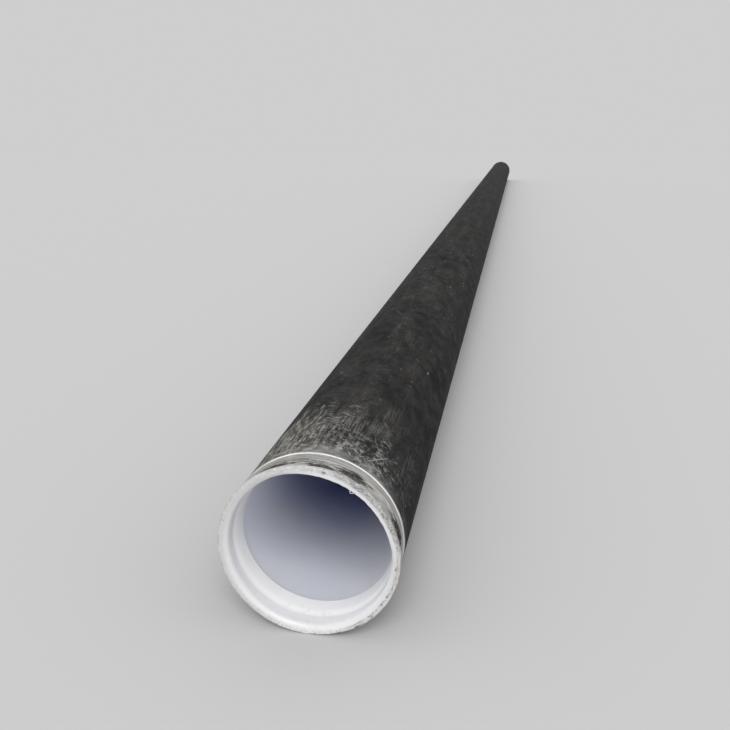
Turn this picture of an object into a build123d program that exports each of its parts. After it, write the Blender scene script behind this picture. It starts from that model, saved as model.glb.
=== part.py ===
"""A plastic-lined steel water pipe, DN 125, lying on its side.

A welded steel tube carries a thin black plastic coat outside and a white plastic lining inside.
At each end the lining is turned out over the end of the steel as a flat lip, and a groove for a
split coupling is rolled into the wall. Rolling moves the wall inwards without cutting it, so each
groove outside shows inside as a low smooth ring. Lengths are in millimetres. The pipe runs along Y
and rests on Z = 0, with the origin under the middle of its length.
"""

import os
from math import radians, tan

from build123d import *

os.makedirs("parts", exist_ok=True)

# The steel tube
steel_length = 6000.0
steel_outer_diameter = 139.7
steel_wall = 4.0

# The plastic on its two surfaces
lining_thickness = 1.5
coating_thickness = 0.8

# The lip that the lining is turned out into, which stands proud of the coating
lip_overhang = 1.75
lip_thickness = 3.5
lip_edge_bevel = 0.6
mouth_radius = 2.0

# The rolled groove, measured over the coating, with its seat counted from the end of the steel
groove_seat = 15.9
groove_width = 9.5
groove_depth = 2.1
groove_wall_lean = 15.0
groove_shoulder_radius = 0.8

# The ring that the groove raises inside
ring_crest_width = 14.0
ring_foot_width = 22.0
ring_radius = 5.0

# What follows from them
steel_outer_radius = steel_outer_diameter / 2
steel_inner_radius = steel_outer_radius - steel_wall
bore_radius = steel_inner_radius - lining_thickness
coating_radius = steel_outer_radius + coating_thickness
lip_radius = coating_radius + lip_overhang
groove_wall_run = groove_depth * tan(radians(groove_wall_lean))
groove_middle = groove_seat + groove_width / 2

# The section plane stands on the pipe's axis: its X runs along the pipe, its Y is the radius
section = Plane(origin=(0, 0, lip_radius), x_dir=(0, 1, 0), z_dir=(1, 0, 0))
pipe_axis = Axis((0, 0, lip_radius), (0, 1, 0))


def groove_outline(surface_radius, widening=0.0):
    """Corners of the groove in an outer surface, as (distance from the steel's end, radius)."""
    near = groove_seat - widening
    far = groove_seat + groove_width + widening
    floor = surface_radius - groove_depth
    return [
        (near, surface_radius),
        (near + groove_wall_run, floor),
        (far - groove_wall_run, floor),
        (far, surface_radius),
    ]


def ring_outline(surface_radius):
    """Corners of the raised ring in an inner surface, as (distance from the steel's end, radius)."""
    crest = surface_radius - groove_depth
    return [
        (groove_middle - ring_foot_width / 2, surface_radius),
        (groove_middle - ring_crest_width / 2, crest),
        (groove_middle + ring_crest_width / 2, crest),
        (groove_middle + ring_foot_width / 2, surface_radius),
    ]


def both_ends(outline):
    """The outline at the near end, then its mirror image at the far end."""
    near = [(distance - steel_length / 2, radius) for distance, radius in outline]
    far = [(-along, radius) for along, radius in reversed(near)]
    return near + far


def mirrored(radii):
    """Corner radii for an outline that both_ends has mirrored."""
    return radii + radii[::-1]


# The steel tube: a groove outside and a ring inside at each end. The coating narrows the groove,
# so the steel's own groove is wider by one coating thickness at each wall.
steel_outside = both_ends([(0, steel_outer_radius)] + groove_outline(steel_outer_radius, coating_thickness))
steel_inside = both_ends([(0, steel_inner_radius)] + ring_outline(steel_inner_radius))

with BuildPart() as steel_pipe:
    with BuildSketch(section):
        with BuildLine():
            Polyline(*steel_outside, *reversed(steel_inside), close=True)
        make_face()
    revolve(axis=pipe_axis)

# The outer coating follows the steel down into the groove
coating_outside = both_ends([(0, coating_radius)] + groove_outline(coating_radius))
groove_radii = [groove_shoulder_radius, 0, 0, groove_shoulder_radius]
coating_radii = mirrored([0] + groove_radii) + [0] * len(steel_outside)

with BuildPart() as outer_coating:
    with BuildSketch(section):
        with BuildLine():
            FilletPolyline(*coating_outside, *reversed(steel_outside), radius=coating_radii, close=True)
        make_face()
    revolve(axis=pipe_axis)

# The lining runs over the ring and out through the mouth, and its lip covers the steel and the
# coating at each end
lining_bore = both_ends([(-lip_thickness, bore_radius)] + ring_outline(bore_radius))
lip_outline = [
    (-lip_thickness, lip_radius - lip_edge_bevel),
    (lip_edge_bevel - lip_thickness, lip_radius),
    (-lip_edge_bevel, lip_radius),
    (0, lip_radius - lip_edge_bevel),
]
lining_back = both_ends(lip_outline + [(0, steel_inner_radius)] + ring_outline(steel_inner_radius))
lining_radii = mirrored([mouth_radius] + [ring_radius] * 4) + [0] * len(lining_back)

with BuildPart() as plastic_lining:
    with BuildSketch(section):
        with BuildLine():
            FilletPolyline(*lining_bore, *reversed(lining_back), radius=lining_radii, close=True)
        make_face()
    revolve(axis=pipe_axis)

# One file for each piece
steel_pipe.part.label = "steel_pipe"
export_step(steel_pipe.part, "parts/steel_pipe.step")
outer_coating.part.label = "outer_coating"
export_step(outer_coating.part, "parts/outer_coating.step")
plastic_lining.part.label = "plastic_lining"
export_step(plastic_lining.part, "parts/plastic_lining.step")

print("steel", steel_outer_radius, steel_inner_radius, "coating", coating_radius, "bore", bore_radius)
print("overall length", steel_length + 2 * lip_thickness, "height", 2 * lip_radius)
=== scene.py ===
# %% [markdown]
# # A plastic-lined steel pipe
# The object is a six metre water pipe that lies on the floor. A steel tube has a thin black
# plastic coat outside and a white plastic lining inside. At each end the lining is turned out over
# the steel as a flat lip, and behind the lip a groove is rolled in for a split coupling.
#
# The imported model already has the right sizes, but its circles are polygons and its surfaces are
# clean. This lesson dresses it: it turns two finely divided skins round the same axis, gives their
# edges the small damage that handling leaves, and paints both with procedural materials.

# %% Loading the frame
from math import cos, degrees, hypot, pi, radians, sin, tan

import bmesh
import bpy
from mathutils import Matrix, Vector, noise


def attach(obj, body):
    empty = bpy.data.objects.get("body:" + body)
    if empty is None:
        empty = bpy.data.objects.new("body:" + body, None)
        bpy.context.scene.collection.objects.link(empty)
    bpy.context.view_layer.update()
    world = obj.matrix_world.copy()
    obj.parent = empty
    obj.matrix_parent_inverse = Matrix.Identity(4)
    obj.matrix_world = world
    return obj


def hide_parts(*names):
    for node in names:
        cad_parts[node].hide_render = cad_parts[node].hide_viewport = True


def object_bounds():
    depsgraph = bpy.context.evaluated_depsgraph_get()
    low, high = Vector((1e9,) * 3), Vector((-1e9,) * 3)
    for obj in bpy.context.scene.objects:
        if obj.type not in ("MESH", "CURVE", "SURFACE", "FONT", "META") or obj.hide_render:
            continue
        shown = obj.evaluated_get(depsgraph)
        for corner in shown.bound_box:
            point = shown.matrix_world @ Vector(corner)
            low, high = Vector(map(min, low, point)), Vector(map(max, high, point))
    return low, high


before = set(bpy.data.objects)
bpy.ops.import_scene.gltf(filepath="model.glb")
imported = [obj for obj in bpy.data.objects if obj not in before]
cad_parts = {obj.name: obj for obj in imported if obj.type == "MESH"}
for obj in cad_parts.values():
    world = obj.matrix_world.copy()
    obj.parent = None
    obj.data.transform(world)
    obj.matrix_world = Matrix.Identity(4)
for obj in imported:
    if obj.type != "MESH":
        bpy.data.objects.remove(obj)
cad_low, cad_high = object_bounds()
print("nodes", sorted(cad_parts), "box", tuple(cad_low), tuple(cad_high))

# %% [markdown]
# ## Sizes
# A pipe is known by its diameters, so every size here is a real one, in millimetres. Distances
# along the pipe are counted inwards from the end of the steel, because that is how grooves are
# measured. One end is described, and the other is its mirror image, so a change is made only once.

# %% Sizes in millimetres
mm = 0.001
half_length = 3000.0
axis_height = 72.4
steel_outer_radius = 69.85
steel_inner_radius = 65.85
bore_radius = 64.35
coat_radius = 70.65

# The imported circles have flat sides, so the lip's reach sideways is a little under its radius
lip_reach = min(cad_high.x, -cad_low.x) / mm
lip_thickness = 3.5
lip_edge_rounding = 0.7
mouth_rounding = 5.8

groove_seat = 15.9
groove_width = 9.5
groove_depth = 2.1
groove_wall_lean = 15
groove_wall_run = groove_depth * tan(radians(groove_wall_lean))
groove_middle = groove_seat + groove_width / 2
groove_far_shoulder = groove_seat + groove_width

# The ring inside: its height is the groove's depth, and its slopes are of different lengths
ring_near_foot = groove_middle - 11.0
ring_near_crest = groove_middle - 6.0
ring_far_crest = groove_middle + 8.0
ring_far_foot = groove_middle + 10.8
print("lip reach", round(lip_reach, 3), "groove from", groove_seat, "to", groove_far_shoulder)

# %% [markdown]
# ## From a profile to a skin
# Everything on a pipe is round, so each skin is a profile turned about the axis. A profile is a
# list of corners (distance along, radius, rounding). The Screw modifier could turn it, but then
# every ring would be the same all the way round. Here each ring of points is made by a function
# instead, and may be pushed about a little at every angle, which is what a hand-finished edge
# needs.

# %% Rounding and dividing a profile
# Behind this distance nothing is left but the plain tube, which needs only a few long steps
end_zone = 42.0
middle_steps = [60, 85, 120, 170, 240, 340, 500, 750, 1100, 1600, 2200, half_length]


def rounded(corners, steps=5):
    """The profile's points, with an arc in place of each corner that has a rounding."""
    points = []
    for number, (along, radius, rounding) in enumerate(corners):
        corner = Vector((along, radius))
        if not rounding:
            points.append(corner)
            continue
        back = (Vector(corners[number - 1][:2]) - corner).normalized()
        ahead = (Vector(corners[number + 1][:2]) - corner).normalized()
        half_angle = back.angle(ahead) / 2
        middle = corner + (back + ahead).normalized() * rounding / sin(half_angle)
        start = corner + back * rounding / tan(half_angle) - middle
        turn = start.angle_signed(corner + ahead * rounding / tan(half_angle) - middle)
        for step in range(steps + 1):
            points.append(middle + Matrix.Rotation(-turn * step / steps, 2) @ start)
    return points


def divided(points, longest):
    """The same profile with points added, so that no step is longer than this."""
    made = [points[0]]
    for start, end in zip(points, points[1:]):
        pieces = max(1, round((end - start).length / longest))
        made += [start.lerp(end, (piece + 1) / pieces) for piece in range(pieces)]
    return made


def plain(corners):
    """Corners as points, for a surface that has no roundings."""
    return [Vector(corner[:2]) for corner in corners]


print("profile helpers ready")

# %% [markdown]
# ## The black coat
# The real coat is a tube of polyethylene, shrunk tightly on the steel. It follows the steel down
# into the groove, so its profile has the groove's two leaning walls, with soft shoulders where the
# plastic is drawn over the steel's edge. The inside of this skin lies on the steel and is never
# seen.

# %% The coat's profile
def groove(surface_radius, widening=0.0, shoulder=0.0, foot=0.0):
    """Corners of the groove in a surface of this radius."""
    near = groove_seat - widening
    far = groove_far_shoulder + widening
    floor = surface_radius - groove_depth
    return [
        (near, surface_radius, shoulder),
        (near + groove_wall_run, floor, foot),
        (far - groove_wall_run, floor, foot),
        (far, surface_radius, shoulder),
    ]


coat_thickness = coat_radius - steel_outer_radius
coat_corners = [(0, coat_radius, 0), *groove(coat_radius, shoulder=0.8, foot=0.5),
                (end_zone, coat_radius, 0)]
coat_back = plain([(0, steel_outer_radius), *groove(steel_outer_radius, coat_thickness),
                   (half_length, steel_outer_radius)])
coat_profile = (coat_back[::-1] + divided(rounded(coat_corners, steps=4), longest=1.4)
                + plain([(along, coat_radius) for along in middle_steps]))
print("coat profile", len(coat_profile), "points")

# %% [markdown]
# ## The white lining
# The real lining is a tube too, pulled through the steel. Its ends are heated and pressed outwards
# over the face of the steel, which gives the lip its rounded mouth and its slightly uneven rim.
# Inside, the groove shows as a low smooth ring, and a ring rolled in from outside has no sharp
# edge anywhere.

# %% The lining's profile
# The front edge of the crest has this share of the ring's height, so that the front slope is soft
front_share = 0.6


def raised_ring(surface_radius, soft=0.0, firm=0.0):
    """Corners of the ring in this surface, with soft roundings in front and firm ones behind."""
    return [
        (ring_far_foot, surface_radius, firm),
        (ring_far_crest, surface_radius - groove_depth, firm),
        (ring_near_crest, surface_radius - front_share * groove_depth, 4 * soft),
        (ring_near_foot, surface_radius, soft),
    ]


# The hot plastic is squeezed a little past the end of the steel, and lies close over the coat
flash = 0.6
over_coat = coat_radius + 0.02
lip_root = 69.0
bore_end = (5, bore_radius, 0)
bore_corners = [(end_zone, bore_radius, 0), *raised_ring(bore_radius, soft=8.0, firm=2.5),
                bore_end]
lip_corners = [
    bore_end,
    (-lip_thickness, bore_radius, mouth_rounding),
    (-lip_thickness, lip_reach, lip_edge_rounding),
    (flash, lip_reach, lip_edge_rounding),
    (flash, over_coat, 0),
    (0, over_coat, 0),
]
lining_back = plain([(0, lip_root), (0, steel_inner_radius), *raised_ring(steel_inner_radius)[::-1],
                     (half_length, steel_inner_radius)])
lining_profile = (plain([(along, bore_radius) for along in middle_steps[::-1]])
                  + divided(rounded(bore_corners), longest=8.0)
                  + divided(rounded(lip_corners, steps=6), longest=0.7)[1:] + lining_back)
print("lining profile", len(lining_profile), "points")

# %% [markdown]
# ## Turning the profile
# Both ends of the pipe come from one half profile: the second half is its mirror image, run
# through backwards, so the profile closes on itself and the skin is a solid with no hole in it.
# The faces are quads that run round the pipe, which shade smoothly. How badly each point is
# damaged and how much it has been handled are kept in the mesh, so that the material can put its
# dirt just where the dents are.

# %% Turning a half profile into a closed skin
steps_around = 600
# An edge that turns by more than this, in degrees, is shaded as a sharp one
sharp_from = 40


def join_rings(mesh, rings):
    """Quads between each ring of points and the next."""
    for ring, following in zip(rings, rings[1:]):
        for number in range(len(ring)):
            after = (number + 1) % len(ring)
            mesh.faces.new((ring[number], ring[after], following[after], following[number]))


def turned(name, half_profile, wear, slivers=()):
    """A closed solid of revolution. wear says where each point goes, and how worn it is."""
    mesh = bmesh.new()
    damage_layer = mesh.verts.layers.float.new("damage")
    handled_layer = mesh.verts.layers.float.new("handled")
    near_half = [(point, -1) for point in half_profile]
    far_half = [(point, 1) for point in half_profile[-2:0:-1]]
    rings = []
    for point, end in near_half + far_half:
        ring = []
        for step in range(steps_around):
            angle = 2 * pi * step / steps_around
            along, radius, damage, handled = wear(point.x, point.y, angle, end)
            across, up = radius * cos(angle), axis_height + radius * sin(angle)
            ring.append(mesh.verts.new(Vector((across, end * (half_length - along), up)) * mm))
            ring[-1][damage_layer] = damage
            ring[-1][handled_layer] = handled
        rings.append(ring)
    join_rings(mesh, rings + rings[:1])
    for sliver in slivers:
        curl(mesh, *sliver)
    bmesh.ops.recalc_face_normals(mesh, faces=mesh.faces)
    data = bpy.data.meshes.new(name)
    mesh.to_mesh(data)
    mesh.free()
    data.shade_smooth()
    data.set_sharp_from_angle(angle=radians(sharp_from))
    piece = bpy.data.objects.new(name, data)
    bpy.context.scene.collection.objects.link(piece)
    print(name, len(data.vertices), "vertices", 2 * len(data.polygons), "triangles")
    return piece


print("skins are turned in", steps_around, "steps")

# %% [markdown]
# ## Slivers
# The hot plate leaves thin slivers of plastic on the mouth's sharp edge, which curl as they cool.
# Each is a bent rod with few sides, made of rings like everything else. It starts inside the
# lining, a little behind the lip's face, and gets thinner towards its end.

# %% One sliver
curl_steps = 14
curl_sides = 6
# In millimetres: where the root lies, and how far the end of the sliver has moved inwards
root_behind_face = 0.9
root_in_lining = 0.3
curl_drift = 0.3
# The share of its thickness that the sliver loses
curl_taper = 0.6


def curl(mesh, end, clock, loop, turn, thickness):
    """A thin sliver of plastic that hangs from the mouth's edge and curls round."""
    outwards = Vector((cos(radians(clock)), 0, sin(radians(clock))))
    sideways = Vector((-outwards.z, 0, outwards.x))
    lengthways = Vector((0, -end, 0))
    to_root = half_length + lip_thickness - root_behind_face
    root = outwards * (bore_radius + root_in_lining) - lengthways * to_root
    root.z += axis_height
    rings = []
    for step in range(curl_steps + 1):
        part = step / curl_steps
        bend = radians(turn) * part
        middle = (root - outwards * loop * (1 - cos(bend)) + sideways * loop * sin(bend)
                  - lengthways * curl_drift * part)
        spoke = outwards * cos(bend) - sideways * sin(bend)
        width = thickness * (1 - curl_taper * part)
        ring = []
        for number in range(curl_sides):
            side = 2 * pi * number / curl_sides
            corner = middle + (spoke * cos(side) + lengthways * sin(side)) * width
            ring.append(mesh.verts.new(corner * mm))
        rings.append(ring)
    join_rings(mesh, rings)
    mesh.faces.new(rings[0])
    mesh.faces.new(rings[-1])


print("a sliver has", curl_steps * curl_sides + 2, "faces")

# %% [markdown]
# ## Small damage
# A pipe that has been rolled, lifted and hauled has no perfect edge. Noise gives the unevenness
# that is everywhere, and a short list of chips gives the pits that the eye finds one by one. Both
# are real geometry, so they show in the outline and cast their own small shadows.

# %% Unevenness and chips
# In the noise the two ends lie this far apart, in millimetres, so that they don't look the same
ends_apart = 500


def uneven(along, radius, angle, end, size):
    """Smooth noise from about -1 to 1, whose lumps are about this many millimetres across."""
    point = Vector((radius * cos(angle), radius * sin(angle), along + ends_apart * end))
    return noise.fractal(point / size, 1.0, 2.0, 3)


def share(value, low, high):
    """0 below low, 1 above high, and a smooth rise between them."""
    part = min(1.0, max(0.0, (value - low) / (high - low)))
    return part * part * (3 - 2 * part)


# Each chip: its end, clock angle, distance from the axis, size, length as a share of it, and depth.
# The clock angle is in degrees, from the right side over the top
chips = [
    (-1, -2, 69.3, 0.7, 1.5, 0.3),
    (-1, -6, 68.4, 1.1, 2.2, 0.6),
    (-1, -12, 69.0, 0.8, 1.4, 0.4),
    (-1, -17, 70.2, 0.6, 2.4, 0.35),
    (-1, -22, 68.6, 0.6, 1.2, 0.3),
    (-1, -27, 69.2, 1.1, 1.7, 0.8),
    (-1, -29, 70.0, 0.7, 1.6, 0.4),
    (-1, -34, 69.0, 1.2, 1.1, 0.7),
    (-1, -39, 70.4, 0.6, 2.0, 0.35),
    (-1, -45, 70.6, 0.8, 3.0, 0.5),
    (-1, -49, 70.0, 1.0, 2.4, 0.6),
    (-1, -58, 72.2, 1.6, 1.6, 0.9),
    (-1, -71, 72.0, 1.2, 2.2, 0.5),
    (-1, -87, 71.8, 1.2, 2.0, 0.5),
    (-1, 78.5, 69.4, 2.1, 1.1, 0.9),
    (-1, 96, 69.8, 1.0, 1.3, 0.4),
    (-1, 163, 69.6, 1.0, 1.8, 0.3),
    (-1, 208, 71.6, 0.9, 1.4, 0.25),
    (-1, 226, 71.5, 1.0, 1.5, 0.3),
    (1, 20, 69.4, 1.3, 1.4, 0.7),
    (1, 118, 71.2, 1.5, 1.6, 0.8),
    (1, 231, 68.9, 1.2, 1.3, 0.6),
    (1, 290, 71.9, 1.6, 1.8, 0.7),
]


# No chip reaches further round the lip than this, in radians
chip_reach = 0.1


def chipped(radius, angle, end):
    """How deep the chips are at this point of the lip."""
    deepest = 0.0
    for chip_end, clock, chip_radius, size, stretch, depth in chips:
        off_middle = (angle - radians(clock) + pi) % (2 * pi) - pi
        if chip_end != end or abs(off_middle) > chip_reach:
            continue
        distance = hypot(off_middle * radius / stretch, radius - chip_radius) / size
        distance += 0.35 * uneven(0, radius, angle, end, 1.6)
        if distance < 1.0:
            deepest = max(deepest, depth * (1 - max(0.0, distance) ** 2) ** 2)
    return deepest


print(len(chips), "chips")

# %% [markdown]
# ## A lip pressed off centre
# The lip was pressed off centre, so on one side it is lower and thinner. In the middle of that
# side the mouth keeps a sharp edge, and everywhere else it has a soft rounding.

# %% The thin side
# A clock angle for each end
thin_side = {-1: 54, 1: 200}


def thin(angle, end):
    """1 on the side where the lip is thinnest, and 0 on the opposite side."""
    return share(cos(angle - radians(thin_side[end])), -0.6, 1.0)


def pinched(angle, end):
    """1 only in the middle of the thin side, where the mouth keeps a sharp edge."""
    return share(cos(angle - radians(thin_side[end])), 0.45, 0.97)


print("thin sides", thin_side)

# %% [markdown]
# ## Wearing the lip
# One function moves every point of the lining's profile. It could be a stack of modifiers, but the
# rim, the face and the flash over the coat are worn in different ways, and a function can tell
# them apart by where a point lies.

# %% The lip's wear
# The lining is plain deeper in than this, and where it lies on the steel
worn_zone = 1.001
rim_zone = 66.0
bore_edge_zone = 68.0
# Shares of the mouth's rounding that are lost at the pinch, and at the bottom
lost_at_pinch = 0.85
lost_at_bottom = 0.25
# In millimetres: how much lower rim and flash are on the thin side, and the sizes of the lumps
rim_drop = 0.9
flash_drop = 1.9
pinch_drop = 0.5
broad_lumps, narrow_lumps, fine_lumps = 30, 5, 2.6
# The clock angle at which the near end is most ragged
ragged_clock = -40


def lip_wear(along, radius, angle, end):
    """The lining: an uneven rim and face, ragged flash over the coat, and a plain bore."""
    if along > worn_zone or along == 0 and radius <= lip_root:
        return along, radius, 0.0, 0.0
    thinness, pinch = thin(angle, end), pinched(angle, end)
    flare = (1 - lost_at_pinch * pinch) * (1 - lost_at_bottom * share(-sin(angle), 0.5, 1.0))
    if radius < bore_radius + mouth_rounding + 0.01:
        along = (along + lip_thickness) * flare - lip_thickness
        radius = (radius - bore_radius) * flare + bore_radius
    face = share(radius, bore_radius + 0.3 * flare, bore_radius + mouth_rounding * flare)
    rim = share(radius, rim_zone, lip_reach)
    broad = uneven(along, radius, angle, end, broad_lumps)
    narrow = uneven(0, radius, angle, end, narrow_lumps)
    depth = chipped(radius, angle, end)

    # The flash and the face
    if along >= 0 and radius > lip_root:
        along += (1.0 if along > 0 else 0.5) * max(-0.5 * flash, 0.9 * broad + 0.6 * narrow)
        along -= (flash + flash_drop) * thinness
    elif face:
        along += face * (0.10 + 0.12 * narrow) + depth

    # The rim and the edge of the bore
    ragged = share(cos(angle - radians(ragged_clock)), -0.2, 0.7) if end < 0 else 0.5
    radius -= rim * (rim_drop * thinness + pinch * pinch_drop * (1 + narrow)
                     + 0.2 * max(-0.1, broad) + (0.02 + 0.13 * ragged) * narrow + 0.5 * depth)
    if radius < bore_edge_zone:
        fine = uneven(0, radius, angle, end, fine_lumps)
        radius += (0.06 + 0.12 * ragged) * narrow + 0.28 * pinch * fine
    return max(along, -lip_thickness), min(radius, lip_reach), depth, max(0.6 * thinness, pinch)


print("lip wear ready")

# %% [markdown]
# ## Wearing the coat
# The coat is tough and keeps its shape. Handling leaves only faint dents near the ends, and its
# very end is tucked under the lip, wherever the lip goes.

# %% The coat's wear
# How far the coat's end follows the thin lip, and how deep it is tucked under it
coat_follows = 2.1
coat_tuck = 0.2
dented_zone = 300
dent_lumps = 18
dent_depth = 0.25


def coat_wear(along, radius, angle, end):
    """The coat: faint dents, none where it lies on the steel or far from the ends."""
    if along < 0.01:
        drawn_in = pinch_drop * pinched(angle, end) if radius == coat_radius else 0.0
        along -= coat_follows * thin(angle, end)
        return along - coat_tuck, radius - drawn_in, 0.0, 0.0
    on_steel = radius < coat_radius - groove_depth - 0.1 or radius == steel_outer_radius
    if on_steel or along > dented_zone:
        return along, radius, 0.0, 0.0
    dent = max(0.0, uneven(along, radius, angle, end, dent_lumps) - 0.25)
    return along, radius - dent_depth * dent, dent, 0.0


print("coat wear ready")

# %% [markdown]
# ## The two skins
# Now both profiles are turned, each with its own wear, and the slivers are added to the lining.

# %% Turning the two skins
# Each sliver: its end, clock angle, the size of its loop, its turn in degrees, and its thickness
slivers = [
    (-1, 57.6, 1.05, 320, 0.36),
    (-1, 56.3, 0.6, -230, 0.32),
    (-1, 58.9, 0.4, 190, 0.30),
    (1, 196.0, 0.8, 250, 0.28),
]
white_lining = turned("white_lining", lining_profile, lip_wear, slivers)
black_coat = turned("black_coat", coat_profile, coat_wear)

# %% [markdown]
# ## Fitting the skins to the frame
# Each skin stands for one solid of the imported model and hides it. The steel tube between them has
# nothing to add and stays as it is.

# %% Fitting the two skins to the frame
for piece, node, slot in ((white_lining, "plastic_lining", "lining"),
                          (black_coat, "outer_coating", "coating")):
    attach(piece, "root")
    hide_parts(node)
    print(piece.name, "stands for", node)

# %% [markdown]
# ## Building materials from nodes
# Every finish is worked out from the place of a point on the pipe, so it fits the surface with no
# picture and no unwrapping. A few short helpers keep the node trees readable: one adds a node and
# fills its inputs, and the others do sums, turn a value into a soft step, or lay one colour over
# another.

# %% Helpers for shader nodes
def place(tree, kind, inputs=None, **settings):
    """Adds a node with its settings. Each input is filled with a value or joined to an output."""
    made = tree.nodes.new(kind)
    for name, value in settings.items():
        setattr(made, name, value)
    for name, value in (inputs or {}).items():
        if isinstance(value, bpy.types.NodeSocket):
            tree.links.new(value, made.inputs[name])
        else:
            made.inputs[name].default_value = value
    return made


def reckon(tree, operation, *values):
    """One sum on numbers, such as ADD or SUBTRACT."""
    given = dict(enumerate(values))
    return place(tree, "ShaderNodeMath", given, operation=operation).outputs[0]


def vectors(tree, operation, *values):
    """One sum on vectors."""
    given = dict(enumerate(values))
    return place(tree, "ShaderNodeVectorMath", given, operation=operation).outputs[0]


def product(tree, first, *others):
    """All the values multiplied together."""
    for other in others:
        first = reckon(tree, "MULTIPLY", first, other)
    return first


def most(tree, first, *others):
    """The largest of the values."""
    for other in others:
        first = reckon(tree, "MAXIMUM", first, other)
    return first


def between(tree, mask, clear, full):
    """The value clear where the mask is 0, full where it is 1, and in between elsewhere."""
    return reckon(tree, "MULTIPLY_ADD", mask, round(full - clear, 9), clear)


def rise(tree, value, start, end):
    """0 at start and 1 at end, with a smooth rise between. Start may be the larger one."""
    given = {"Value": value, "From Min": start, "From Max": end}
    step = place(tree, "ShaderNodeMapRange", given, interpolation_type="SMOOTHSTEP")
    return step.outputs["Result"]


def lumps(tree, vector, size, detail=4.0):
    """Soft noise around 0.5, whose lumps are about this many millimetres across."""
    given = {"Vector": vector, "Scale": 1.0 / size, "Detail": detail}
    return place(tree, "ShaderNodeTexNoise", given).outputs["Fac"]


def blended(tree, amount, under, over):
    """The colour under, covered with the colour over by the amount."""
    given = {0: amount, 6: under, 7: over}
    return place(tree, "ShaderNodeMix", given, data_type="RGBA").outputs[2]


print("helpers ready")

# %% [markdown]
# ## Effects as node groups
# An effect that is wanted again, with other values, is a node group. It is built once, with named
# inputs and outputs, and then placed wherever it is needed, like a small node of one's own.

# %% Helpers for node groups
def effect(name, takes, gives):
    """Starts a shader node group, and returns it with its inner inputs and outputs."""
    tree = bpy.data.node_groups.new(name, "ShaderNodeTree")
    for label, value in takes.items():
        kind = "NodeSocketVector" if isinstance(value, tuple) else "NodeSocketFloat"
        tree.interface.new_socket(label, in_out="INPUT", socket_type=kind).default_value = value
    for label, kind in gives.items():
        tree.interface.new_socket(label, in_out="OUTPUT", socket_type="NodeSocket" + kind)
    inside = tree.nodes.new("NodeGroupInput").outputs
    return tree, inside, tree.nodes.new("NodeGroupOutput").inputs


def use(tree, group, **inputs):
    """Places an effect and returns its outputs. An underscore stands for a space in a name."""
    given = {name.replace("_", " "): value for name, value in inputs.items()}
    return place(tree, "ShaderNodeGroup", given, node_tree=group).outputs


def mask_of(tree, group, **inputs):
    """Places an effect that gives one mask, and returns the mask."""
    return use(tree, group, **inputs)["Mask"]


def cube(tree, size):
    """One size in all three directions, to divide a place by."""
    return place(tree, "ShaderNodeCombineXYZ", {"X": size, "Y": size, "Z": size}).outputs[0]


print("group helpers ready")

# %% [markdown]
# ## Where a point is on the pipe
# All finishes need the same facts about a point, in millimetres: how far it is from the end of the
# steel, from the axis and to the side. Height is a share of the radius, from -1 at the bottom to 1
# on top. Noise needs a place too. Skin is the plain place in space, which has no seam anywhere,
# and Sheet is the surface unrolled flat, with its one seam underneath, where the pipe lies. Arc is
# the way round on that sheet, counted from the top.

# %% The place on the pipe
pipe_place, _, gives = effect("pipe place", {}, {
    "Skin": "Vector", "Sheet": "Vector", "Arc": "Float", "Along": "Float", "Radius": "Float",
    "Height": "Float", "Sideways": "Float", "Lengthways": "Float"})
tree = pipe_place
metres = place(tree, "ShaderNodeTexCoord").outputs["Object"]
scaled = vectors(tree, "MULTIPLY", metres, (1 / mm, 1 / mm, 1 / mm))
skin = vectors(tree, "SUBTRACT", scaled, (0, 0, axis_height))
parts = place(tree, "ShaderNodeSeparateXYZ", {0: skin}).outputs
flat_place = vectors(tree, "MULTIPLY", skin, (1, 0, 1))
from_axis = place(tree, "ShaderNodeVectorMath", {0: flat_place}, operation="LENGTH")
arc = product(tree, reckon(tree, "ARCTAN2", parts["X"], parts["Z"]), coat_radius)
found = {
    "Skin": skin,
    "Sheet": place(tree, "ShaderNodeCombineXYZ", {"X": arc, "Y": parts["Y"]}).outputs[0],
    "Arc": arc,
    "Along": reckon(tree, "SUBTRACT", half_length, reckon(tree, "ABSOLUTE", parts["Y"])),
    "Radius": from_axis.outputs["Value"],
    "Height": reckon(tree, "DIVIDE", parts["Z"], coat_radius),
    "Sideways": parts["X"],
    "Lengthways": parts["Y"],
}
for label, value in found.items():
    tree.links.new(value, gives[label])
print("pipe place gives", list(found))

# %% [markdown]
# ## Smears
# Dust, haze and rubbed patches all have the same look: soft islands of a second colour. Noise
# squeezed in one direction gives islands that run round the pipe or along it, and a soft threshold
# says how much of the surface they cover.

# %% Smears
# Noise seldom leaves this range, so the cover is brought into it
noise_low, noise_high = 0.25, 0.75

smears, takes, gives = effect("smears", {
    "Place": (0.0, 0.0, 0.0), "Round": 20.0, "Lengthways": 20.0, "Cover": 0.5, "Softness": 0.1,
    "Detail": 5.0}, {"Mask": "Float"})
tree = smears
sizes = place(tree, "ShaderNodeCombineXYZ", {
    "X": takes["Round"], "Y": takes["Lengthways"], "Z": takes["Round"]}).outputs[0]
cloud = place(tree, "ShaderNodeTexNoise", {
    "Vector": vectors(tree, "DIVIDE", takes["Place"], sizes), "Scale": 1.0,
    "Detail": takes["Detail"], "Roughness": 0.6}).outputs["Fac"]
level = place(tree, "ShaderNodeMapRange", {
    "Value": takes["Cover"], "To Min": noise_high, "To Max": noise_low}).outputs["Result"]
mask = rise(tree, cloud, reckon(tree, "SUBTRACT", level, takes["Softness"]),
            reckon(tree, "ADD", level, takes["Softness"]))
tree.links.new(mask, gives["Mask"])


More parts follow.
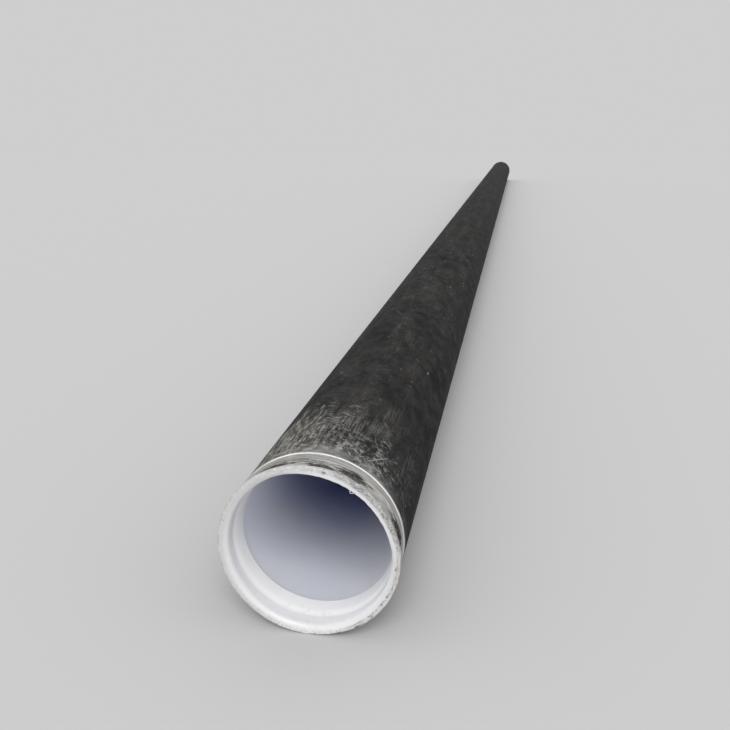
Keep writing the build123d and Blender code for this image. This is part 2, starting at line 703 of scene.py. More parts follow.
def islands(tree, place_on_pipe, round_size, lengthways, cover=0.5, softness=0.1, detail=5.0):
    """A mask of soft islands, of these sizes in millimetres round the pipe and along it."""
    return mask_of(tree, smears, Place=place_on_pipe, Round=round_size, Lengthways=lengthways,
                   Cover=cover, Softness=softness, Detail=detail)


print("smears takes", list(takes.keys()))

# %% [markdown]
# ## Scratches
# A scratch on plastic is a short line that wanders a little. The unrolled surface is split into
# cells, each cell is turned by its own random angle, and one soft line is drawn in it. Noise
# pushes the cells about first, so that no line is straight. A random number for each cell leaves
# some cells empty, and another makes some lines fainter. Wide short lines are nicks, thin long
# ones are true scratches.

# %% Scratches
# Each line is at its full strength over this share of its length, and the faintest keeps this much
full_share = 0.3
faintest = 0.2

scratches, takes, gives = effect("scratches", {
    "Sheet": (0.0, 0.0, 0.0), "Cell": 20.0, "Length": 14.0, "Width": 0.3, "Share": 0.5,
    "Wander": 0.5}, {"Mask": "Float"})
tree = scratches
cells = vectors(tree, "DIVIDE", takes["Sheet"], cube(tree, takes["Cell"]))
pushed = place(tree, "ShaderNodeTexNoise", {"Vector": cells, "Scale": 1.7, "Detail": 2.0})
pushed = vectors(tree, "SUBTRACT", pushed.outputs["Color"], (0.5, 0.5, 0.5))
pushed = vectors(tree, "MULTIPLY", pushed, cube(tree, takes["Wander"]))
cells = vectors(tree, "ADD", cells, vectors(tree, "MULTIPLY", pushed, (1, 1, 0)))
pattern = place(tree, "ShaderNodeTexVoronoi", {"Vector": cells, "Scale": 1.0},
                voronoi_dimensions="2D").outputs
chance = place(tree, "ShaderNodeSeparateColor", {0: pattern["Color"]}).outputs
inner = vectors(tree, "SUBTRACT", cells, pattern["Position"])
inner = vectors(tree, "MULTIPLY", inner, cube(tree, takes["Cell"]))
turned_cell = place(tree, "ShaderNodeVectorRotate", {
    "Vector": inner, "Angle": between(tree, chance["Red"], -pi / 2, pi / 2)},
    rotation_type="Z_AXIS")
line = place(tree, "ShaderNodeSeparateXYZ", {0: turned_cell.outputs[0]}).outputs
half = product(tree, takes["Length"], 0.5)
thin_line = rise(tree, reckon(tree, "ABSOLUTE", line["Y"]), takes["Width"], 0.0)
short = rise(tree, reckon(tree, "ABSOLUTE", line["X"]), half, product(tree, half, full_share))
kept = reckon(tree, "LESS_THAN", chance["Green"], takes["Share"])
faint = between(tree, chance["Blue"], faintest, 1.0)
tree.links.new(product(tree, thin_line, short, kept, faint), gives["Mask"])
print("scratches takes", list(takes.keys()))

# %% [markdown]
# ## Scuffs
# Rubbing leaves soft, bent strokes that now and then cross. The line where noise passes through
# one level is just such a curve, and smears break it into strokes.

# %% Scuffs
# The strokes' length as a share of the curves' size
stroke_share = 0.45

scuffs, takes, gives = effect("scuffs", {
    "Place": (0.0, 0.0, 0.0), "Size": 8.0, "Width": 0.03, "Cover": 0.5}, {"Mask": "Float"})
tree = scuffs
winding = place(tree, "ShaderNodeTexNoise", {
    "Vector": vectors(tree, "DIVIDE", takes["Place"], cube(tree, takes["Size"])),
    "Scale": 1.0, "Detail": 3.0, "Roughness": 0.45}).outputs["Fac"]
off_level = reckon(tree, "ABSOLUTE", reckon(tree, "SUBTRACT", winding, 0.5))
stroke = product(tree, takes["Size"], stroke_share)
breaks = islands(tree, takes["Place"], stroke, stroke, cover=takes["Cover"], softness=0.09)
on_line = rise(tree, off_level, takes["Width"], 0.0)
tree.links.new(product(tree, on_line, breaks), gives["Mask"])
print("scuffs takes", list(takes.keys()))

# %% [markdown]
# ## Bands and specks
# A band is a stripe at one distance from the end or the axis, for wear that follows an edge.
# Specks are small dots, some of the cells of a fine pattern, for grit on the pressed plastic.

# %% Bands and specks
band, takes, gives = effect("band", {
    "Value": 0.0, "Middle": 0.0, "Half width": 1.0, "Softness": 0.5}, {"Mask": "Float"})
tree = band
distance = reckon(tree, "ABSOLUTE", reckon(tree, "SUBTRACT", takes["Value"], takes["Middle"]))
outside = reckon(tree, "ADD", takes["Half width"], takes["Softness"])
tree.links.new(rise(tree, distance, outside, takes["Half width"]), gives["Mask"])

specks, takes, gives = effect("specks", {
    "Place": (0.0, 0.0, 0.0), "Spacing": 3.0, "Size": 0.5, "Share": 0.3}, {"Mask": "Float"})
tree = specks
cells = vectors(tree, "DIVIDE", takes["Place"], cube(tree, takes["Spacing"]))
pattern = place(tree, "ShaderNodeTexVoronoi", {"Vector": cells, "Scale": 1.0}).outputs
chance = place(tree, "ShaderNodeSeparateColor", {0: pattern["Color"]}).outputs
distance = product(tree, pattern["Distance"], takes["Spacing"])
reach = product(tree, takes["Size"], reckon(tree, "ADD", chance["Red"], 0.4))
dot = rise(tree, distance, reach, product(tree, reach, 0.5))
kept = reckon(tree, "LESS_THAN", chance["Green"], takes["Share"])
tree.links.new(product(tree, dot, kept), gives["Mask"])
print("specks takes", list(takes.keys()))

# %% [markdown]
# ## Patches
# Some marks have a known place. A patch is one oval on the unrolled surface, which a ragged mask
# may tear at its outline. Its place round the pipe is given as a clock angle, in degrees from the
# right side over the top, so that a mark can be read off the real pipe and typed in.

# %% Patches
patch, takes, gives = effect("patch", {
    "Arc": 0.0, "Across": 0.0, "Ragged": 0.0, "Arc middle": 0.0, "Across middle": 0.0,
    "Half length": 10.0, "Half width": 5.0}, {"Mask": "Float"})
tree = patch
off_arc = reckon(tree, "SUBTRACT", takes["Arc"], takes["Arc middle"])
off_arc = reckon(tree, "DIVIDE", off_arc, takes["Half length"])
off_across = reckon(tree, "SUBTRACT", takes["Across"], takes["Across middle"])
off_across = reckon(tree, "DIVIDE", off_across, takes["Half width"])
squares = reckon(tree, "MULTIPLY_ADD", off_arc, off_arc, product(tree, off_across, off_across))
off_patch = reckon(tree, "ADD", reckon(tree, "SQRT", squares), takes["Ragged"])
tree.links.new(rise(tree, off_patch, 1.25, 0.75), gives["Mask"])


def spot(tree, at, clock, middle, half_round, half_wide, measure="Along", ragged=0.0):
    """A mask of one patch at this clock angle, measured along the pipe or by its radius."""
    arc_middle = radians((90 - clock + 180) % 360 - 180) * coat_radius
    return mask_of(tree, patch, Arc=at["Arc"], Across=at[measure], Ragged=ragged,
                   Arc_middle=arc_middle, Across_middle=middle, Half_length=half_round,
                   Half_width=half_wide)


print("patch takes", list(takes.keys()))

# %% [markdown]
# ## The plain coat
# Black polyethylene is satin when it is new. Handling turns it grey in stages, so its finish is
# built as the real surface was worn: plain plastic first, and then each kind of wear as one layer
# over the one before. One noise alone could never look so, because each kind of mark has its own
# direction and its own places. The ends of a pipe are knocked about most, and the flanks hardly at
# all, so two masks hold most of the wear to the end and to the upper side.

# %% The plain coat
def new_finish(name):
    """A new material with its node tree, its shader, and the place of a point on the pipe."""
    material = bpy.data.materials.new(name)
    material.use_nodes = True
    tree = material.node_tree
    return material, tree, tree.nodes["Principled BSDF"], use(tree, pipe_place)


def with_relief(tree, shader, height):
    """Gives the surface small bumps. The height is in millimetres."""
    bump = place(tree, "ShaderNodeBump", {"Height": height, "Distance": mm, "Strength": 1.0})
    tree.links.new(bump.outputs[0], shader.inputs["Normal"])


coat, tree, shader, at = new_finish("black_polyethylene")
exposed = rise(tree, at["Along"], 190.0, 75.0)
upper = rise(tree, at["Height"], 0.42, 0.80)
flanks = between(tree, upper, 0.25, 1.0)

# The plastic is a little uneven, and a soft bloom clouds it
cloudy = islands(tree, at["Skin"], 60.0, 110.0, softness=0.2)
colour = blended(tree, cloudy, (0.005, 0.005, 0.006, 1), (0.013, 0.013, 0.014, 1))
bloom = islands(tree, at["Skin"], 14.0, 24.0, cover=0.42, softness=0.18, detail=7.0)
bloom = product(tree, bloom, between(tree, exposed, 0.6, 0.15))
colour = blended(tree, bloom, colour, (0.040, 0.039, 0.038, 1))

# A thin brownish film lies on the upper side: dust, and painted sheen where the top mirrors the sky
settled = islands(tree, at["Skin"], 26.0, 70.0, cover=0.45, softness=0.14)
dust_and_sheen = product(tree, settled, rise(tree, at["Height"], 0.1, 0.9), 0.3)
colour = blended(tree, dust_and_sheen, colour, (0.042, 0.038, 0.032, 1))
print("plain coat", len(tree.nodes), "nodes")

# %% [markdown]
# ## Dragged places
# A pipe is dragged lengthways, so its streaks run along it. They are smears, squeezed until they
# are many times longer than wide, and a larger smear says where they lie. One side near the end
# was dragged harder. That is a patch, torn by the shape of the marks in it.

# %% Streaks along the coat
dragged_places = islands(tree, at["Skin"], 26.0, 160.0, cover=0.38, softness=0.10)
streaks = islands(tree, at["Skin"], 1.7, 26.0, cover=0.45, softness=0.12, detail=3.0)
streaks = product(tree, streaks, between(tree, dragged_places, 0.04, 0.84),
                  between(tree, exposed, 0.15, 1.0), flanks)
torn = islands(tree, at["Skin"], 11.0, 34.0, cover=0.5, softness=0.3)
worn_side = spot(tree, at, clock=119, middle=66.0, half_round=26.0, half_wide=62.0,
                 ragged=between(tree, torn, 0.6, -0.5))
worn_side = product(tree, worn_side, between(tree, torn, 0.5, 1.0))
gouged = islands(tree, at["Skin"], 2.0, 15.0, cover=0.42, softness=0.07, detail=3.0)
gouged = product(tree, gouged, worn_side)
colour = blended(tree, product(tree, worn_side, 0.45), colour, (0.085, 0.082, 0.072, 1))
colour = blended(tree, streaks, colour, (0.17, 0.163, 0.145, 1))
colour = blended(tree, gouged, colour, (0.27, 0.262, 0.233, 1))
print("streaks,", len(tree.nodes), "nodes")

# %% [markdown]
# ## Rubbed places
# Other places are rubbed. They have a smoky bloom and a net of short soft scuffs in two sizes,
# both thickest near the end. Behind the groove the coat is rubbed to an even haze, which stays out
# of the side that was dragged.

# %% Bloom, scuffs and haze
rubbed_places = islands(tree, at["Skin"], 22.0, 240.0, cover=0.34, softness=0.12, detail=4.0)
near_end = product(tree, rise(tree, at["Along"], 100.0, 45.0), upper, 0.85)
rubbed_places = most(tree, product(tree, rubbed_places, flanks), near_end)
smoky = islands(tree, at["Skin"], 8.0, 8.0, cover=0.45, softness=0.16)
smoky = product(tree, smoky, between(tree, rubbed_places, 0.03, 0.98),
                between(tree, exposed, 0.35, 1.0), 0.28)
colour = blended(tree, smoky, colour, (0.13, 0.128, 0.125, 1))

coarse_scuffs = mask_of(tree, scuffs, Place=at["Skin"], Size=15.0, Width=0.065, Cover=0.42)
fine_scuffs = mask_of(tree, scuffs, Place=at["Skin"], Size=8.0, Width=0.07, Cover=0.38)
strokes = mask_of(tree, scratches, Sheet=at["Sheet"], Cell=6.5, Length=9.5, Width=0.55,
                  Share=0.7, Wander=0.8)
net = most(tree, product(tree, most(tree, coarse_scuffs, fine_scuffs), 0.75), strokes)
net = product(tree, net, between(tree, rubbed_places, 0.04, 0.96),
              between(tree, exposed, 0.1, 0.94))
colour = blended(tree, net, colour, (0.46, 0.455, 0.44, 1))

fading = rise(tree, at["Along"], 49.0, groove_far_shoulder)
behind_groove = rise(tree, at["Along"], groove_far_shoulder - 1.0, groove_far_shoulder)
haze_cloud = islands(tree, at["Skin"], 22.0, 12.0, cover=0.5, softness=0.16)
haze = product(tree, fading, behind_groove, flanks, between(tree, haze_cloud, 0.12, 0.72),
               between(tree, worn_side, 1.0, 0.4))
colour = blended(tree, haze, colour, (0.26, 0.26, 0.26, 1))
print("rubbed places,", len(tree.nodes), "nodes")

# %% [markdown]
# ## The seat and the groove
# A pipe is gripped and hauled by its end, so the seat and the groove are rubbed to an even grey.
# Close to the lip some of it is nearly white, some is smeared with grime, and in the lip's shelter
# some is left black. The black places are known, so each is a patch. A smear drawn out round the
# pipe tears their outlines, the way the rubbing went.

# %% The grey seat and groove
seat = mask_of(tree, band, Value=at["Along"], Middle=10.0, Half_width=15.5, Softness=0.8)
near_lip = rise(tree, at["Along"], 15.5, 12.0)

# Clock angle, distance from the end of the steel, half length round the pipe and half width
black_places = [
    (62, 7.5, 13.5, 6.5),
    (82, 3.0, 11.0, 3.0),
    (115, 4.4, 17.0, 3.4),
    (17, 7.0, 13.0, 6.0),
    (148, 7.0, 10.0, 6.0),
    (-31, 9.5, 9.0, 3.5),
    (-72, 4.5, 22.0, 3.2),
    (187, 3.5, 27.0, 3.2),
    (238, 9.5, 7.0, 4.5),
]
drawn_out = islands(tree, at["Sheet"], 7.0, 1.7, softness=0.25, detail=4.0)
ragged = between(tree, drawn_out, -0.62, 0.58)
left_black = most(tree, *[spot(tree, at, *sizes, ragged=ragged) for sizes in black_places])
flecks = islands(tree, at["Skin"], 4.0, 2.0, cover=0.36, softness=0.10)
left_black = product(tree, left_black, near_lip, between(tree, flecks, 0.97, 0.72))
colour = blended(tree, product(tree, left_black, 0.85), colour, (0.012, 0.012, 0.012, 1))

# The grey itself: white next to the lip, hauled marks round the pipe, and one smeared place on top
rubbed_white = islands(tree, at["Skin"], 16.0, 3.0, cover=0.42, softness=0.08)
rubbed_white = product(tree, rubbed_white, near_lip)
grey = blended(tree, rubbed_white, (0.39, 0.385, 0.37, 1), (0.68, 0.675, 0.66, 1))
hauled = islands(tree, at["Sheet"], 16.0, 1.8, cover=0.48, softness=0.16)
grey = blended(tree, product(tree, hauled, 0.6), grey, (0.16, 0.156, 0.14, 1))
smeared = islands(tree, at["Sheet"], 9.0, 2.2, cover=0.52, softness=0.16)
on_top = spot(tree, at, clock=101, middle=8.6, half_round=30.0, half_wide=4.8)
smeared = product(tree, smeared, on_top, 0.85)
grey = blended(tree, smeared, grey, (0.095, 0.092, 0.082, 1))

hoops = islands(tree, at["Skin"], 40.0, 1.6, softness=0.25)
rubbed = product(tree, seat, between(tree, left_black, 1.0, 0.0), between(tree, hoops, 0.8, 1.0))
colour = blended(tree, rubbed, colour, grey)
print("seat and groove,", len(tree.nodes), "nodes")

# %% [markdown]
# ## Scratches on the coat
# Scratches are the newest marks and cross everything, so they come last: short ones where the coat
# is rubbed, a few long ones anywhere, one slanted scar near the end, and white nicks in loose
# groups.

# %% Scratches, scar and nicks
short_ones = mask_of(tree, scratches, Sheet=at["Sheet"], Cell=9.0, Length=9.0, Width=1.0,
                     Share=0.3, Wander=0.9)
short_ones = product(tree, short_ones, between(tree, rubbed_places, 0.2, 1.0),
                     between(tree, exposed, 0.2, 1.0))
long_ones = mask_of(tree, scratches, Sheet=at["Sheet"], Cell=48.0, Length=46.0, Width=0.55,
                    Share=0.25, Wander=0.25)
# The scar moves this far round the pipe for each millimetre along it
scar_slant = -0.51
slanted = reckon(tree, "MULTIPLY_ADD", at["Along"], scar_slant, at["Arc"])
scar = mask_of(tree, patch, Arc=slanted, Across=at["Along"], Arc_middle=19.4,
               Across_middle=54.0, Half_length=0.8, Half_width=14.0)
nicks = mask_of(tree, scratches, Sheet=at["Sheet"], Cell=15.0, Length=10.0, Width=1.4,
                Share=0.5, Wander=0.5)
grouped = islands(tree, at["Skin"], 30.0, 60.0, cover=0.30, softness=0.08)
scored = most(tree, short_ones, product(tree, most(tree, long_ones, scar), 0.6),
              product(tree, nicks, grouped))
colour = blended(tree, product(tree, scored, 0.8), colour, (0.37, 0.365, 0.35, 1))
print("scratches,", len(tree.nodes), "nodes")

# %% [markdown]
# ## The groove's painted highlight
# The upper edge of the groove's far wall is rounded, and a thin bright line on it is a painted
# highlight. It could be a thin strip of its own, but it is only colour, so a band at the right
# radius on the far wall is enough. The highlight is weaker on the left side and low on the flanks,
# and it has faint patches.

# %% The painted highlight
line_below_coat = 0.80
# Painted highlight: a white band on the far wall's rounded upper edge, lighter towards the top
painted_highlight = mask_of(tree, band, Value=at["Radius"], Middle=coat_radius - line_below_coat,
                 Half_width=0.20, Softness=0.30)
on_far_wall = product(tree, rise(tree, at["Along"], groove_middle, groove_middle + 1.0),
                      rise(tree, at["Along"], groove_far_shoulder + 0.45,
                           groove_far_shoulder + 0.05))
patchy = islands(tree, at["Skin"], 4.0, 4.0, cover=0.75)
off_left_side = rise(tree, at["Sideways"], -47.0, -27.0)
towards_top = rise(tree, at["Height"], 0.0, 0.85)
painted_highlight = product(tree, painted_highlight, on_far_wall, between(tree, patchy, 0.65, 1.0),
                 between(tree, off_left_side, 0.4, 1.0),
                 between(tree, towards_top, 0.4, 1.0))
colour = blended(tree, painted_highlight, colour, (0.97, 0.97, 0.955, 1))
tree.links.new(colour, shader.inputs["Base Color"])
print("bright edge,", len(tree.nodes), "nodes")

# %% [markdown]
# ## The coat's gloss and relief
# Wear takes the gloss off, and scratches are cut in. A plain plastic shader mirrors the pale sky
# where it is seen at a low angle, as all of the top is here, and turns black into grey. So the
# shader's own gloss is all but taken away, by an index just above 1, and a weak clear coat with a
# high index gives the satin instead. It mirrors about two percent from every side.

# %% The coat's gloss and relief
lighter = most(tree, haze, rubbed, dust_and_sheen, streaks, net)
roughness = between(tree, lighter, 0.45, 0.7)
roughness = reckon(tree, "ADD", roughness, product(tree, scored, 0.12))
tree.links.new(roughness, shader.inputs["Roughness"])
shader.inputs["IOR"].default_value = 1.02
shader.inputs["Coat Weight"].default_value = 0.05
shader.inputs["Coat IOR"].default_value = 4.0
shader.inputs["Coat Roughness"].default_value = 0.38

grain = lumps(tree, at["Skin"], 1.4)
drawn = islands(tree, at["Skin"], 3.0, 400.0, softness=0.3)
height = reckon(tree, "MULTIPLY_ADD", grain, 0.05, product(tree, drawn, 0.02))
height = reckon(tree, "SUBTRACT", height, product(tree, most(tree, scored, net), 0.02))
with_relief(tree, shader, height)
black_coat.data.materials.append(coat)
print("coat nodes", len(tree.nodes))

# %% [markdown]
# ## The bore
# The lining is white plastic with a lilac cast. Its heated end is white, and on the ring, which
# faces the mouth, it is painted whiter still: painted light. Behind the ring the plain tube is
# painted darker and bluer with depth, as painted shade and bounced light, because light that has
# bounced many times between lilac walls takes on more and more of their colour. A render follows
# only a few of the bounces, so the colour itself changes with the depth. The right side is painted
# paler, as painted light, and the bottom is darker, most of all near the mouth.

# %% The bore
lining, tree, shader, at = new_finish("white_polyethylene")

# The plain tube, from its first part behind the ring to the deep part, painted darker and bluer
# with depth: painted shade and bounced light
depth_in = rise(tree, at["Along"], 80.0, 260.0)
colour = blended(tree, depth_in, (0.80, 0.83, 0.92, 1), (0.035, 0.10, 0.50, 1))
# Painted light: the right side of the bore is painted paler
painted_light_right = rise(tree, at["Sideways"], -0.1 * bore_radius, 0.8 * bore_radius)
colour = blended(tree, product(tree, painted_light_right, 0.8), colour, (0.95, 0.95, 0.97, 1))
# Darker towards the bottom, most of all near the mouth
bottom = rise(tree, at["Height"], 0.0, -0.8)
darker_bottom = product(tree, bottom, between(tree, depth_in, 0.5, 0.24))
colour = blended(tree, darker_bottom, colour, (0.52, 0.525, 0.56, 1))

# The heated end: whitest on the ring and paler on its right side, both painted light, and greyer
# where it flares
heated = rise(tree, at["Along"], ring_far_crest + 4.0, ring_far_crest)
# Painted light: the ring, which faces the mouth, is painted whiter than the part in front of it
ring_painted_light = rise(tree, at["Along"], ring_near_foot, ring_near_crest)
white = blended(tree, ring_painted_light, (0.82, 0.82, 0.845, 1), (0.91, 0.91, 0.915, 1))
colour = blended(tree, heated, colour, white)
flared = rise(tree, at["Along"], 5.0, -1.0)
colour = blended(tree, flared, colour, (0.69, 0.69, 0.70, 1))
within = rise(tree, at["Along"], -2.5, 1.5)
# Painted light: the end is painted paler still on its right side
painted_light_end = product(tree, heated, painted_light_right, within, 0.85)
colour = blended(tree, painted_light_end, colour, (0.97, 0.97, 0.975, 1))

# Clouds everywhere, and smudges at the bottom of the mouth
cloudy = islands(tree, at["Skin"], 40.0, 50.0, softness=0.25)
colour = blended(tree, product(tree, cloudy, 0.25), colour, (0.76, 0.75, 0.75, 1))
smudged = islands(tree, at["Skin"], 5.0, 10.0, cover=0.22, softness=0.10)
near_mouth = mask_of(tree, band, Value=at["Along"], Middle=6.0, Half_width=9.0, Softness=6.0)
smudged = product(tree, smudged, rise(tree, at["Height"], -0.6, -0.95), near_mouth, 0.25)
colour = blended(tree, smudged, colour, (0.45, 0.44, 0.43, 1))
print("bore", len(tree.nodes), "nodes")

# %% [markdown]
# ## The pressed face
# The lip's face was pressed flat by a hot plate, which leaves it duller than the bore and a little
# spotted. It is greyer towards the rim, painted darker on the left as painted shade, and has a
# faint reddish stain low on the right.

# %% The pressed face
face = rise(tree, at["Radius"], bore_radius + 1.5, bore_radius + 4.5)
outer = rise(tree, at["Radius"], 67.0, 70.0)
face_tone = islands(tree, at["Skin"], 2.6, 2.6, softness=0.12)
face_colour = blended(tree, face_tone, (0.69, 0.69, 0.685, 1), (0.82, 0.82, 0.82, 1))
face_colour = blended(tree, product(tree, outer, 0.3), face_colour, (0.52, 0.52, 0.51, 1))
# Painted shade: the face is painted darker on its left side
painted_shade_left = product(tree, rise(tree, at["Sideways"], 0.0, -0.9 * coat_radius), 0.6)
face_colour = blended(tree, painted_shade_left, face_colour, (0.46, 0.46, 0.455, 1))
dulled = spot(tree, at, clock=-34, middle=71.0, half_round=44.0, half_wide=5.0,
              measure="Radius")
dulled = product(tree, dulled, 0.38)
face_colour = blended(tree, dulled, face_colour, (0.42, 0.415, 0.41, 1))

stained = product(tree, islands(tree, at["Skin"], 9.0, 9.0, cover=0.22, softness=0.06), 0.25)
reddish = islands(tree, at["Skin"], 2.4, 2.4, cover=0.45, softness=0.12)
low_right = spot(tree, at, clock=-17, middle=69.2, half_round=14.0, half_wide=2.4,
                 measure="Radius")
reddish = product(tree, reddish, low_right, 0.4)
face_colour = blended(tree, most(tree, stained, reddish), face_colour, (0.60, 0.42, 0.43, 1))
print("face,", len(tree.nodes), "nodes")

# %% [markdown]
# ## Dirt on the thin side
# The thin side of the lip took most of the knocks. Dirt is pressed into it as dark mottles, and
# drag marks run round it. The mesh keeps how much each point was handled, and the dirt follows
# that. Mottles are coarse smears filled with finer ones, as pressed-in dirt looks close up. At the
# near end one more place was knocked.

# %% Mottles and drag marks
handled = place(tree, "ShaderNodeAttribute", attribute_name="handled").outputs["Fac"]
thin_part = rise(tree, handled, 0.25, 0.85)
beyond_edge = rise(tree, at["Radius"], 65.6, 68.2)
mottles = islands(tree, at["Skin"], 4.2, 4.2, cover=0.72, softness=0.22)
fine_mottles = islands(tree, at["Skin"], 1.2, 1.2, cover=0.55, softness=0.15)
knocked = spot(tree, at, clock=40, middle=70.2, half_round=42.0, half_wide=3.6,
               measure="Radius")
knocked = product(tree, knocked, rise(tree, at["Lengthways"], 1.0, -1.0))
on_thin_part = product(tree, thin_part, beyond_edge, 0.35)
mottles = product(tree, mottles, between(tree, fine_mottles, 0.28, 1.0),
                  most(tree, on_thin_part, knocked))
face_colour = blended(tree, mottles, face_colour, (0.11, 0.102, 0.104, 1))

# On the face the radius and the arc are the two directions
round_face = place(tree, "ShaderNodeCombineXYZ", {"X": at["Radius"], "Y": at["Arc"]}).outputs[0]
drag_marks = islands(tree, round_face, 0.7, 11.0, cover=0.36, softness=0.10)
drag_marks = product(tree, drag_marks, rise(tree, handled, 0.1, 0.5), beyond_edge, 0.5)
face_colour = blended(tree, drag_marks, face_colour, (0.28, 0.27, 0.26, 1))
print("dirt,", len(tree.nodes), "nodes")

# %% [markdown]
# ## Creases, grit and slivers
# The edge of the hot plate leaves fine broken creases round the face. A crease is a narrow band
# whose radius wanders, kept to one patch and broken by smears. One deep chip has a dark blemish
# round it, grit speckles the rim, and the thin slivers that hang into the mouth are white plastic,
# painted whiter still as a painted highlight that lifts them out of the lip's shade.

# %% Creases, grit and slivers
uneven_edge = between(tree, lumps(tree, at["Skin"], 1.3, 2.0), -1.2, 1.2)
blemish = spot(tree, at, clock=78.5, middle=68.8, half_round=1.5, half_wide=1.5,
               measure="Radius", ragged=uneven_edge)
face_colour = blended(tree, product(tree, blemish, 0.7), face_colour, (0.20, 0.19, 0.18, 1))

# Clock angle, radius and half length round the pipe
creases = [(-30, 69.0, 39.0), (-84, 71.1, 48.0)]
broken = islands(tree, at["Skin"], 5.0, 5.0, cover=0.55, softness=0.1)
wandering = lumps(tree, at["Skin"], 14.0, 2.0)
for clock, crease_radius, half_round in creases:
    middle = between(tree, wandering, crease_radius - 1.5, crease_radius + 1.5)
    crease = mask_of(tree, band, Value=at["Radius"], Middle=middle, Half_width=0.2,
                     Softness=0.45)
    creased = spot(tree, at, clock, crease_radius, half_round, half_wide=5.0, measure="Radius")
    crease = product(tree, crease, creased, broken, 0.85)
    face_colour = blended(tree, crease, face_colour, (0.17, 0.16, 0.155, 1))

grit = mask_of(tree, specks, Place=at["Skin"], Spacing=1.7, Size=0.5, Share=0.35)
grit = product(tree, grit, between(tree, outer, 0.06, 0.41))
face_colour = blended(tree, grit, face_colour, (0.22, 0.21, 0.20, 1))
in_dents = rise(tree, lumps(tree, at["Skin"], 1.5, 3.0), 0.42, 0.62)
in_dents = product(tree, in_dents, between(tree, knocked, 0.12, 0.42))
face_colour = blended(tree, in_dents, face_colour, (0.52, 0.51, 0.51, 1))
colour = blended(tree, face, colour, face_colour)

# Painted highlight: the slivers are painted nearly white, against the shade they hang in
sliver = product(tree, rise(tree, at["Radius"], bore_radius - 0.2, bore_radius - 0.6),
                 rise(tree, at["Along"], 2.0, 1.0))
colour = blended(tree, sliver, colour, (0.97, 0.97, 0.97, 1))
print("creases and grit,", len(tree.nodes), "nodes")

# %% [markdown]
# ## The rim, the chips and the lining's relief
# The rim is grey from handling, and the chips are dark with dirt. The chips' places come from the
# damage that the mesh keeps, so the dirt lies exactly in the pits. The pressed face is rough and
# pimpled, and the bore is smooth and only a little wavy.

# %% The rim, the chips and the relief
rim = rise(tree, at["Radius"], 70.2, 71.8)
behind = rise(tree, at["Along"], -3.0, -1.5)
rim_dirt = product(tree, most(tree, rim, product(tree, behind, face)),
                   islands(tree, at["Skin"], 5.0, 3.0, cover=0.5, softness=0.08),
                   between(tree, thin_part, 0.45, 0.8))
colour = blended(tree, rim_dirt, colour, (0.27, 0.26, 0.24, 1))
damage = place(tree, "ShaderNodeAttribute", attribute_name="damage").outputs["Fac"]
dirty = product(tree, rise(tree, damage, 0.06, 0.4), 0.75)
colour = blended(tree, dirty, colour, (0.15, 0.13, 0.135, 1))
tree.links.new(colour, shader.inputs["Base Color"])

rough_face = between(tree, face, 0.32, 0.6)
tree.links.new(rough_face, shader.inputs["Roughness"])
pimples = product(tree, lumps(tree, at["Skin"], 1.1, 5.0), face)
calm = product(tree, lumps(tree, at["Skin"], 9.0, 2.0), 0.03)
with_relief(tree, shader, reckon(tree, "MULTIPLY_ADD", pimples, 0.22, calm))
white_lining.data.materials.append(lining)
print("lining nodes", len(tree.nodes))

# %% [markdown]
# ## The steel's finish
# The steel lies between the two skins and shows nowhere, but it is one of the three pieces, so it
# gets the finish it has before it is covered: blasted mill steel, with the grain of rolling along
# the tube.

# %% The steel's material
steel, tree, shader, at = new_finish("rolled_steel")
rolled = islands(tree, at["Skin"], 1.5, 90.0, softness=0.25)
scale = islands(tree, at["Skin"], 18.0, 30.0, cover=0.4)
colour = blended(tree, rolled, (0.36, 0.36, 0.37, 1), (0.48, 0.48, 0.49, 1))
colour = blended(tree, product(tree, scale, 0.6), colour, (0.20, 0.20, 0.22, 1))
tree.links.new(colour, shader.inputs["Base Color"])
shader.inputs["Metallic"].default_value = 1.0
tree.links.new(between(tree, scale, 0.36, 0.56), shader.inputs["Roughness"])
fine_grain = product(tree, lumps(tree, at["Skin"], 0.7), 0.04)
with_relief(tree, shader, reckon(tree, "MULTIPLY_ADD", rolled, 0.03, fine_grain))
steel_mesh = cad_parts["steel_pipe"].data
steel_mesh.materials.clear()
steel_mesh.materials.append(steel)
print("steel nodes", len(tree.nodes))

# %% [markdown]
# ## The floor
# The pipe lies on a plain pale floor. Far away the floor turns into the sky's own tone, for the
# camera only, which leaves no horizon. Near the pipe it is an ordinary surface and keeps the
# shadow.

# %% Floor
sky_tone = (0.62, 0.62, 0.62, 1)
floor_tone = (0.525, 0.525, 0.525, 1)
# In metres: the floor's size, and where it starts and ends turning into the sky
floor_radius = 60
fade_start, fade_end = 6.0, 14.0

floor_mesh = bpy.data.meshes.new("floor")
floor_shape = bmesh.new()
bmesh.ops.create_circle(floor_shape, cap_ends=True, segments=96, radius=floor_radius)
floor_shape.to_mesh(floor_mesh)
floor_shape.free()
floor = bpy.data.objects.new("floor", floor_mesh)
bpy.context.scene.collection.objects.link(floor)

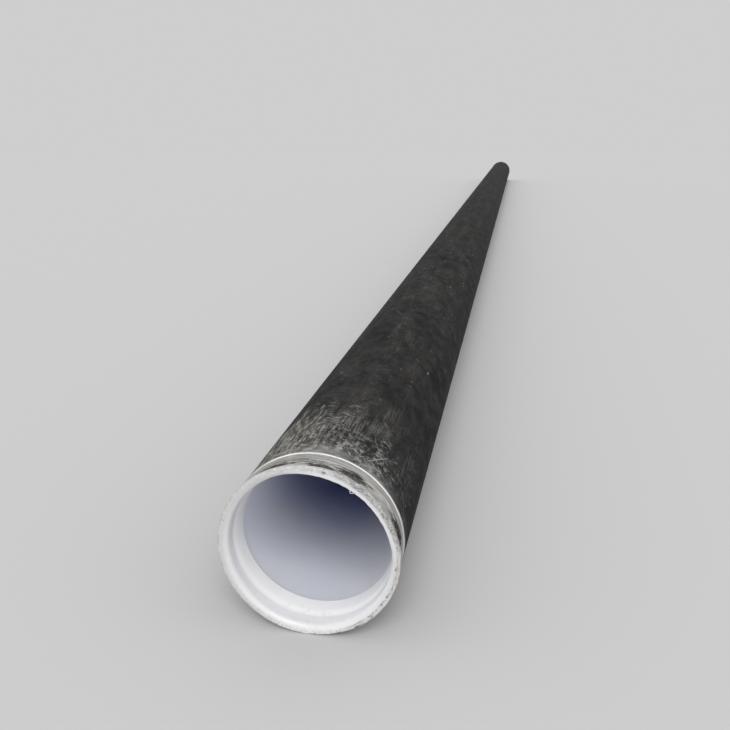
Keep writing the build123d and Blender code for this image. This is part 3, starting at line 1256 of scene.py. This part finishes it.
floor_paint = bpy.data.materials.new("pale_floor")
floor_paint.use_nodes = True
tree = floor_paint.node_tree
shader = tree.nodes["Principled BSDF"]
shader.inputs["Base Color"].default_value = floor_tone
shader.inputs["Roughness"].default_value = 1.0
shader.inputs["Specular IOR Level"].default_value = 0.0
where = place(tree, "ShaderNodeTexCoord").outputs["Object"]
from_middle = place(tree, "ShaderNodeVectorMath", {0: where}, operation="LENGTH")
ray = place(tree, "ShaderNodeLightPath").outputs
far_off = rise(tree, from_middle.outputs["Value"], fade_start, fade_end)
far_off = product(tree, far_off, ray["Is Camera Ray"])
glow = place(tree, "ShaderNodeEmission", {"Color": sky_tone, "Strength": 1.0}).outputs[0]
mixed = place(tree, "ShaderNodeMixShader", {0: far_off, 1: shader.outputs[0], 2: glow})
tree.links.new(mixed.outputs[0], tree.nodes["Material Output"].inputs["Surface"])
floor_mesh.materials.append(floor_paint)
print("floor", tuple(floor.dimensions))

# %% [markdown]
# ## The light
# An even sky lights the pipe from all sides, and one broad soft lamp stands high in front, a
# little to the right, so that light falls into the mouth and fades along the bore. A render can
# show another sky than the one that lights the scene: what the camera and mirrors see is a calm
# grey.

# %% Sky
sky_strength = 0.80
world = bpy.data.worlds.new("studio")
bpy.context.scene.world = world
world.use_nodes = True
tree = world.node_tree
light_sky = tree.nodes["Background"]
light_sky.inputs["Color"].default_value = (1, 1, 1, 1)
light_sky.inputs["Strength"].default_value = sky_strength
shown_sky = place(tree, "ShaderNodeBackground", {"Color": sky_tone, "Strength": 1.0}).outputs[0]
ray = place(tree, "ShaderNodeLightPath").outputs
looked_at = most(tree, ray["Is Camera Ray"], ray["Is Glossy Ray"], ray["Is Transmission Ray"])
mixed = place(tree, "ShaderNodeMixShader", {0: looked_at, 1: light_sky.outputs[0], 2: shown_sky})
tree.links.new(mixed.outputs[0], tree.nodes["World Output"].inputs["Surface"])
print("sky", sky_strength, "shown as", sky_tone[0])

# %% Lamp
lamp_data = bpy.data.lights.new("soft_lamp", "SUN")
lamp_data.energy = 1.70
lamp_data.angle = radians(35)
lamp = bpy.data.objects.new("soft_lamp", lamp_data)
lamp.rotation_euler = (radians(45), 0, radians(10))
bpy.context.scene.collection.objects.link(lamp)
print("lamp", round(lamp_data.energy, 2), "wide", round(degrees(lamp_data.angle)), "degrees")

# %% [markdown]
# ## The camera
# The camera stands where the photograph was taken from: half a metre in front of the mouth, above
# it and to its right, and it looks down at the mouth. Its lens gives the same opening angle, so
# the pipe's end has the same size and shape in the picture, and the six metres behind it shrink
# towards the same point.

# %% Camera
camera_data = bpy.data.cameras.new("camera")
camera_data.sensor_width = 36.0
camera_data.lens = 37.98
camera_data.clip_start = 0.02
camera = bpy.data.objects.new("camera", camera_data)
camera.location = (0.1414, -3.5041, 0.3791)
looking = Vector((-0.18172, 0.93944, -0.29058))
camera.rotation_mode = "QUATERNION"
camera.rotation_quaternion = looking.to_track_quat("-Z", "Y")
bpy.context.scene.collection.objects.link(camera)
bpy.context.scene.camera = camera
bpy.context.scene.view_settings.view_transform = "Standard"
print("camera at", [round(part, 3) for part in camera.location], "lens", round(camera_data.lens, 2))
